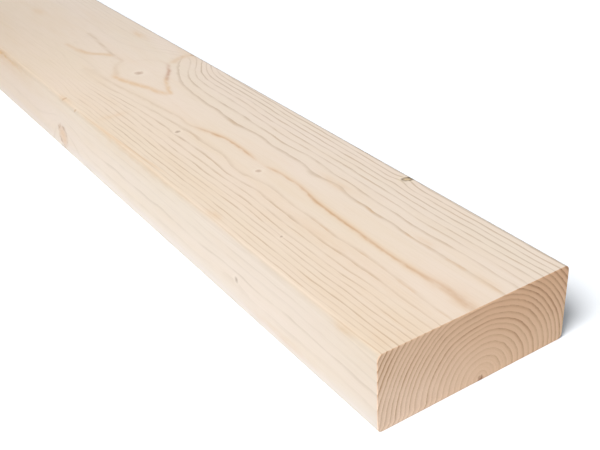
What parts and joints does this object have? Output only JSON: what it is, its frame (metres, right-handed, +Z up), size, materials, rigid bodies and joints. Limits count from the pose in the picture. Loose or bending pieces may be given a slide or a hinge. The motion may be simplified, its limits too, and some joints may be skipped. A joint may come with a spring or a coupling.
{
  "type": "timber plank",
  "caption": "Planed softwood construction plank with eased long edges and square-sawn ends, for joists, rails, studs and general framing.",
  "frame": {"origin": "middle of the underside, where the plank lies on the floor", "axes": "+X along the length to one sawn end, +Y across the width, +Z up through the thickness"},
  "size_m": [2.4, 0.12, 0.045],
  "materials": {
    "softwood": "planed bare softwood, dry, with visible growth rings and small knots"
  },
  "bodies": {
    "root": {"plank": "softwood"}
  },
  "joints": []
}
